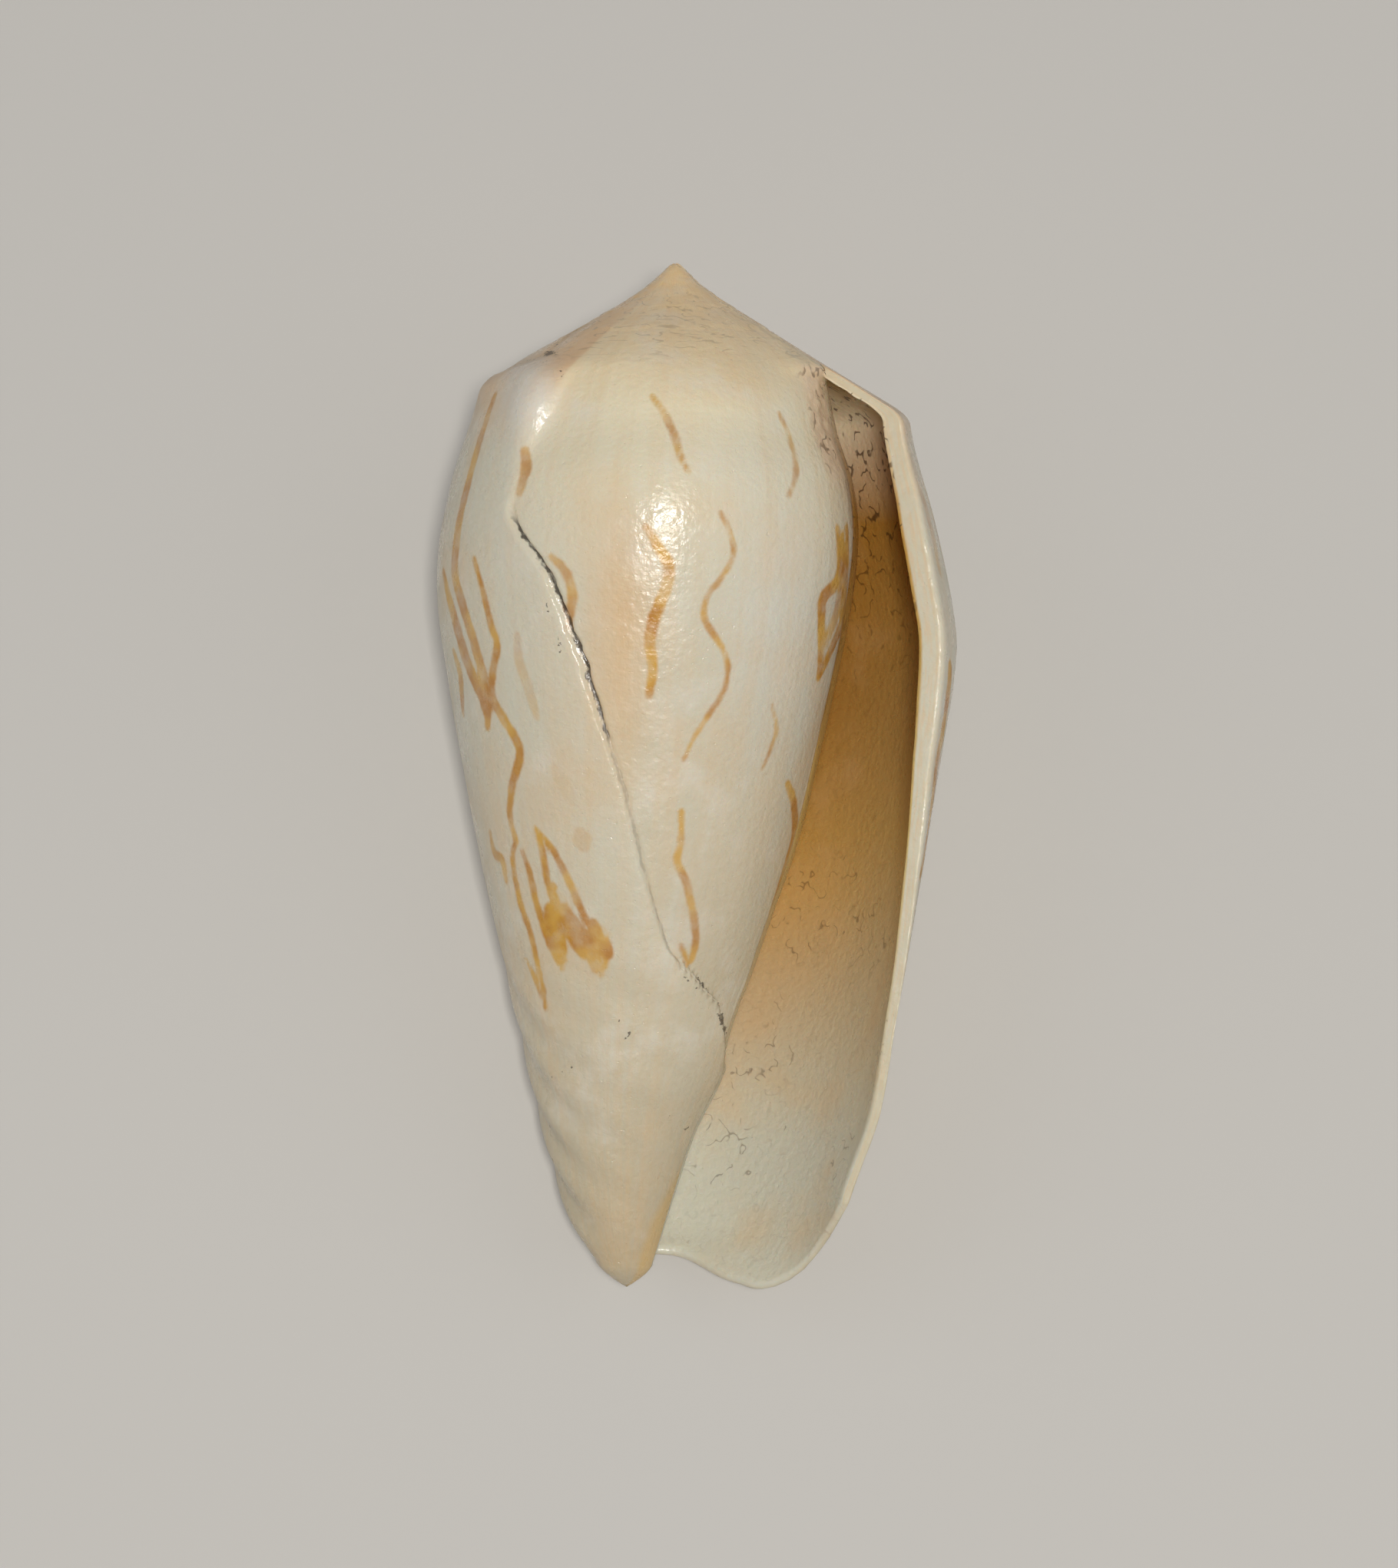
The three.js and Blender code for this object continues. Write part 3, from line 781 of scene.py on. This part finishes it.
class Nodes:
    """Short names for the shader nodes that the material is made of."""

    def __init__(self, material):
        material.use_nodes = True
        self.tree = material.node_tree
        self.shader = self.tree.nodes["Principled BSDF"]

    def link(self, value, socket):
        if isinstance(value, bpy.types.NodeSocket):
            self.tree.links.new(value, socket)
        else:
            socket.default_value = value

    def node(self, kind, **settings):
        node = self.tree.nodes.new(kind)
        for name, value in settings.items():
            setattr(node, name, value)
        return node

    def fact(self, name):
        return self.node("ShaderNodeAttribute", attribute_name=name).outputs["Fac"]

    def math(self, operation, *values, clamp=False):
        node = self.node("ShaderNodeMath", operation=operation, use_clamp=clamp)
        for value, socket in zip(values, node.inputs):
            self.link(value, socket)
        return node.outputs[0]

    def vector(self, x, y, z):
        node = self.node("ShaderNodeCombineXYZ")
        for value, socket in zip((x, y, z), node.inputs):
            self.link(value, socket)
        return node.outputs[0]

    def place(self):
        """The point on the surface, in millimetres."""
        object_point = self.node("ShaderNodeTexCoord").outputs["Object"]
        node = self.node("ShaderNodeVectorMath", operation="SCALE")
        self.link(object_point, node.inputs[0])
        node.inputs["Scale"].default_value = 1 / MM
        return node.outputs[0]

    def noise(self, point, size, detail=2.0, roughness=0.5):
        """Noise from 0 to 1 with lumps of the given size."""
        node = self.node("ShaderNodeTexNoise")
        self.link(point, node.inputs["Vector"])
        node.inputs["Scale"].default_value = 1 / size
        node.inputs["Detail"].default_value = detail
        node.inputs["Roughness"].default_value = roughness
        return node.outputs["Fac"]

    def span(self, value, low, high, to_low=0.0, to_high=1.0):
        """Runs smoothly from to_low to to_high as the value goes from low to high."""
        node = self.node("ShaderNodeMapRange", interpolation_type="SMOOTHSTEP")
        for number, socket in zip((value, low, high, to_low, to_high), node.inputs):
            self.link(number, socket)
        return node.outputs[0]

    def ramp(self, value, stops):
        """A colour that changes along the value; stops are [place, colour]."""
        node = self.node("ShaderNodeValToRGB")
        elements = node.color_ramp.elements
        while len(elements) < len(stops):
            elements.new(0.5)
        for element, (at, colour) in zip(elements, stops):
            element.position = at
            element.color = colour
        self.link(value, node.inputs[0])
        return node.outputs[0]

    def blend(self, share, first, second, kind="MIX"):
        node = self.node("ShaderNodeMix", data_type="RGBA", blend_type=kind)
        self.link(share, node.inputs["Factor"])
        self.link(first, node.inputs["A"])
        self.link(second, node.inputs["B"])
        return node.outputs["Result"]

    def bump(self, height, strength, distance, normal=None):
        """Bump; the height is from 0 to 1 and the distance is in millimetres."""
        node = self.node("ShaderNodeBump")
        self.link(height, node.inputs["Height"])
        node.inputs["Strength"].default_value = strength
        node.inputs["Distance"].default_value = distance * MM
        if normal is not None:
            self.link(normal, node.inputs["Normal"])
        return node.outputs[0]


def by_depth(stops):
    return [(depth / LENGTH, rgb(*colour)) for depth, colour in stops]


# The shell's own colours, named for what they look like, and where each lies, by depth.
APRICOT, ROSE = (245, 210, 155), (225, 190, 150)
CREAM, IVORY = (235, 225, 195), (215, 210, 190)
SAND, DUN = (210, 200, 175), (190, 178, 150)
BONE, PEARL = (250, 235, 205), (215, 212, 195)
AMBER, HONEY, PALE_HONEY = (165, 106, 28), (210, 160, 75), (220, 190, 120)
THIN_LAYER = [(0, APRICOT), (10, CREAM), (22, IVORY), (44, SAND), (65, DUN)]
THICK_LAYER = [(0, APRICOT), (7, ROSE), (12, IVORY), (36, IVORY), (46, SAND), (65, DUN)]
INSIDE_DEEP = [(9, BONE), (16, AMBER), (28, AMBER), (40, HONEY), (56, PEARL)]
INSIDE_LIP = [(9, BONE), (16, HONEY), (36, PALE_HONEY), (56, PEARL)]
BROKEN_FACE = [(8, SAND), (30, IVORY), (65, SAND)]
LINE_PALE, LINE_DARK = rgb(214, 166, 66), rgb(186, 122, 16)
# Dark colour for dirt and for the painted shade in the crevice, the shoulder groove and under the
# step.
DIRT_AND_SHADE_COLOUR = rgb(58, 48, 38)
HAIR_COLOUR = rgb(70, 38, 14)
PILLAR_TAN = rgb(208, 180, 130)
SCAR_CREAM = rgb(236, 208, 176)
WARM_STAIN = rgb(226, 184, 128)
PALE_CHALK = rgb(232, 228, 216)
COOL_WHITE = rgb(226, 228, 222)


def outside_colour(n, point, turn, depth):
    share = n.math("DIVIDE", depth, LENGTH)
    colour = n.blend(n.fact("layer"), n.ramp(share, by_depth(THIN_LAYER)),
                     n.ramp(share, by_depth(THICK_LAYER)))
    cloud = n.span(n.noise(point, 7, 3), 0.48, 0.7, 0, 0.22)
    colour = n.blend(cloud, colour, WARM_STAIN)
    chalk = n.span(n.noise(point, 4.5, 4, 0.6), 0.5, 0.72, 0, 0.4)
    colour = n.blend(chalk, colour, PALE_CHALK)
    colour = n.blend(n.span(n.fact("tint"), 0, 1, 0, 0.7), colour, COOL_WHITE)
    colour = n.blend(n.span(n.fact("tint"), 0, -1, 0, 0.7), colour, WARM_STAIN)
    streak = n.vector(n.math("DIVIDE", turn, 5), n.math("DIVIDE", depth, 22), 0)
    growth = n.span(n.noise(streak, 1, 3), 0.35, 0.7, 0, 0.16)
    colour = n.blend(growth, colour, WARM_STAIN)
    along = n.vector(n.math("DIVIDE", turn, 16), n.math("DIVIDE", depth, 0.5), 0)
    scratches = n.math("MULTIPLY", hairs(n, along, 1, 0.03), n.span(depth, 5.5, 7.5, 0.26, 0))
    colour = n.blend(n.math("MULTIPLY", scratches, n.span(depth, 1, 3)), colour, HAIR_COLOUR)
    fine = n.span(n.noise(point, 0.35, 2), 0.3, 0.7, 0, 0.07)
    return n.blend(fine, colour, PALE_CHALK)


def painted_lines(n, point, colour):
    """The wavy brown lines, soft and uneven at their edges and worn through in places."""
    wander = n.math("MULTIPLY", n.math("SUBTRACT", n.noise(point, 0.8, 3), 0.48), 0.4)
    body = n.span(n.math("ADD", n.fact("line_edge"), wander), 0.3, 0.72)
    worn = n.span(n.noise(point, 1.3, 3), 0.3, 0.6, 0.65, 1)
    amount = n.math("MULTIPLY", n.math("MULTIPLY", body, worn), n.fact("line_strength"))
    tone = n.blend(n.span(n.noise(point, 2.2, 2), 0.35, 0.65), LINE_PALE, LINE_DARK)
    return n.blend(amount, colour, tone)


def hairs(n, point, size, width):
    """Short curved hair lines: thin contours of a noise, broken into pieces by another."""
    value = n.noise(point, size, 1.5)
    line = n.math("ABSOLUTE", n.math("SUBTRACT", value, 0.5))
    broken = n.span(n.noise(point, size * 0.8, 1), 0.48, 0.56)
    return n.math("MULTIPLY", n.span(line, width * 0.4, width, 1, 0), broken)


def inside_colour(n, point, turn, depth):
    share = n.math("DIVIDE", depth, LENGTH)
    colour = n.blend(n.span(turn, 285, 376), n.ramp(share, by_depth(INSIDE_DEEP)),
                     n.ramp(share, by_depth(INSIDE_LIP)))
    cloud = n.span(n.noise(point, 5, 3), 0.45, 0.75, 0, 0.3)
    colour = n.blend(cloud, colour, WARM_STAIN)
    crowd = n.span(depth, 13, 30, 0.95, 0.1)
    dense = n.math("MULTIPLY", hairs(n, point, 1.3, 0.035), crowd)
    few = n.math("MULTIPLY", hairs(n, point, 1.3, 0.017), n.span(n.noise(point, 6, 1), 0.55, 0.64))
    marks = n.math("MAXIMUM", dense, n.math("MULTIPLY", few, 0.55))
    return n.blend(n.math("MULTIPLY", marks, 0.8), colour, HAIR_COLOUR)


def scar_colour(n, point, turn, depth, colour):
    """The rough cream band where the broken whorl was attached, and the tan face of the pillar."""
    band = n.math("MULTIPLY", n.span(turn, 32, 40, 1, 0), n.span(depth, 12.5, 15, 1, 0))
    band = n.math("MULTIPLY", band, n.span(depth, 6.3, 6.9))
    colour = n.blend(n.math("MULTIPLY", band, 0.8), colour, SCAR_CREAM)
    wrinkles = n.math("MULTIPLY", hairs(n, point, 1.3, 0.035), band)
    colour = n.blend(n.math("MULTIPLY", wrinkles, 0.6), colour, HAIR_COLOUR)
    limit = n.span(depth, 55.5, 63, 22, 62)
    face = n.span(n.math("SUBTRACT", turn, limit), -14, 6, 0.95, 0)
    face = n.math("MULTIPLY", face, n.span(depth, 55.5, 58.5))
    return n.blend(face, colour, PILLAR_TAN)


def finished_colour(n, point):
    turn, depth, inside, broken = (n.fact(f) for f in ("turn", "depth", "inside", "broken"))
    outer = painted_lines(n, point, outside_colour(n, point, turn, depth))
    outer = scar_colour(n, point, turn, depth, outer)
    colour = n.blend(inside, outer, inside_colour(n, point, turn, depth))
    share = n.math("DIVIDE", depth, LENGTH)
    face = n.ramp(share, by_depth(BROKEN_FACE))
    grain = n.vector(n.math("DIVIDE", depth, 2), n.math("MULTIPLY", inside, 7), 0)
    face = n.blend(n.span(n.noise(grain, 1, 2), 0.4, 0.7, 0, 0.3), face, WARM_STAIN)
    colour = n.blend(n.span(broken, 0.35, 0.95, 0, 1), colour, face)
    # Dirt and painted shade darken the colour last.
    return n.blend(shade_and_dirt(n, point, depth), colour, DIRT_AND_SHADE_COLOUR)


def shade_and_dirt(n, point, depth):
    """The dark line in the crevice beside the step, painted shade with some dirt, and dark specks of
    dirt and painted shade where the mask of both lies.
    """
    wander = n.math("MULTIPLY", n.math("SUBTRACT", n.noise(point, 0.5, 2), 0.5), 0.3)
    gap = n.math("ADD", n.math("ADD", n.fact("edge_gap"), 0.1), wander)
    # The crevice line is painted shade, with some dirt, where the crevice is too narrow for the
    # mesh.
    line = n.span(n.math("ABSOLUTE", gap), 0.05, 0.14, 1, 0)
    open_part = n.math("MULTIPLY", n.span(depth, 16.2, 17.5), n.span(depth, 29.5, 31, 1, 0.25))
    open_part = n.math("MULTIPLY", open_part, n.span(depth, 42, 45, 1, 0))
    patchy = n.span(n.noise(point, 1.1, 2), 0.32, 0.5, 0.35, 1)
    line = n.math("MULTIPLY", n.math("MULTIPLY", line, open_part), patchy)
    shade_and_dirt_mask = n.math("MULTIPLY", n.fact("grime_and_shade"), 0.42)
    speck = n.span(n.math("ADD", n.noise(point, 0.32, 2), shade_and_dirt_mask), 0.8, 0.88)
    return n.math("MAXIMUM", n.math("MULTIPLY", line, 0.9), n.math("MULTIPLY", speck, 0.75))


def shell_material():
    material = bpy.data.materials.new("worn_shell")
    n = Nodes(material)
    point = n.place()
    n.link(finished_colour(n, point), n.shader.inputs["Base Color"])
    polish = n.noise(point, 2.5, 3, 0.6)
    rough = n.span(polish, 0.3, 0.7, 0.2, 0.44)
    rough = n.math("ADD", rough, n.math("MULTIPLY", n.fact("broken"), 0.12))
    rough = n.math("ADD", rough, n.math("MULTIPLY", n.fact("grime_and_shade"), 0.3))
    n.link(rough, n.shader.inputs["Roughness"])
    normal = n.bump(n.noise(point, 0.45, 2), 0.7, 0.08)
    streak = n.vector(n.math("DIVIDE", n.fact("turn"), 3.5),
                      n.math("DIVIDE", n.fact("depth"), 16), 0)
    normal = n.bump(n.noise(streak, 1, 3), 0.35, 0.08, normal)
    pits = n.span(n.noise(point, 0.3, 1), 0.7, 0.78, 1, 0)
    normal = n.bump(pits, 0.4, 0.05, normal)
    n.link(normal, n.shader.inputs["Normal"])
    n.shader.inputs["IOR"].default_value = 1.53
    n.shader.inputs["Subsurface Weight"].default_value = 0.2
    n.shader.inputs["Subsurface Radius"].default_value = (1.0, 0.55, 0.3)
    n.shader.inputs["Subsurface Scale"].default_value = 2.2 * MM
    return material


# ---- Floor, lights and camera ----
FLOOR_HALF = 1.5
FLOOR_COLOUR = rgb(206, 204, 200)
# Each light's name, the way it lies from the shell, its distance, width and power, and colour.
LIGHTS = [
    ("key", (0.03, -0.22, 1.0), 0.6, 0.06, 2.3, (1.0, 0.96, 0.9)),
    ("left_fill", (-1.0, 0.1, 1.0), 0.7, 0.6, 0.35, (0.96, 0.98, 1.0)),
    ("right_fill", (1.0, 0.0, 1.0), 0.7, 0.6, 0.35, (1.0, 0.98, 0.95)),
]
WORLD_COLOUR, WORLD_STRENGTH = rgb(235, 238, 244), 0.2

# The camera looks straight at the axis from the front; it aims at a point [x, y, z] of the
# shell's own millimetres, and leans by a little.
AIM = (2.06, -33.0, 0)
CAMERA_LEAN = 0.95
CAMERA_DISTANCE = 0.35
VIEW_HEIGHT = 99.57 * MM
SENSOR = 36


def floor():
    bpy.ops.mesh.primitive_plane_add(size=2 * FLOOR_HALF)
    plane = bpy.context.object
    plane.name = "floor"
    material = bpy.data.materials.new("pale_floor")
    n = Nodes(material)
    n.shader.inputs["Base Color"].default_value = FLOOR_COLOUR
    n.shader.inputs["Roughness"].default_value = 0.9
    plane.data.materials.append(material)


def face_towards(thing, target):
    away = thing.location - target
    thing.rotation_euler = away.to_track_quat("Z", "Y").to_euler()


def lights(target):
    for name, way, distance, width, power, colour in LIGHTS:
        lamp = bpy.data.lights.new(name, "AREA")
        lamp.size, lamp.energy, lamp.color = width, power, colour
        thing = bpy.data.objects.new(name, lamp)
        bpy.context.collection.objects.link(thing)
        thing.location = target + Vector(way).normalized() * distance
        face_towards(thing, target)
    world = bpy.data.worlds.new("studio")
    world.use_nodes = True
    background = world.node_tree.nodes["Background"]
    background.inputs["Color"].default_value = WORLD_COLOUR
    background.inputs["Strength"].default_value = WORLD_STRENGTH
    bpy.context.scene.world = world


def camera(target):
    lens = bpy.data.cameras.new("camera")
    lens.sensor_width = SENSOR
    lens.lens = SENSOR * CAMERA_DISTANCE / VIEW_HEIGHT
    lens.clip_start = 0.01
    thing = bpy.data.objects.new("camera", lens)
    bpy.context.collection.objects.link(thing)
    tilt = np.radians(PITCH)
    back = Vector((0, -np.sin(tilt), np.cos(tilt)))
    up = Vector((0, np.cos(tilt), np.sin(tilt)))
    lean = Quaternion(back, np.radians(CAMERA_LEAN))
    up = lean @ up
    right = up.cross(back)
    thing.location = target + back * CAMERA_DISTANCE
    thing.rotation_euler = Matrix((right, up, back)).transposed().to_euler()
    bpy.context.scene.camera = thing


shell, shift = make_shell()
shell.data.materials.append(shell_material())
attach(shell, "root")
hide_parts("shell")
floor()
target = to_world(AIM, shift)
lights(target)
camera(target)
bpy.context.scene.view_settings.view_transform = "Standard"
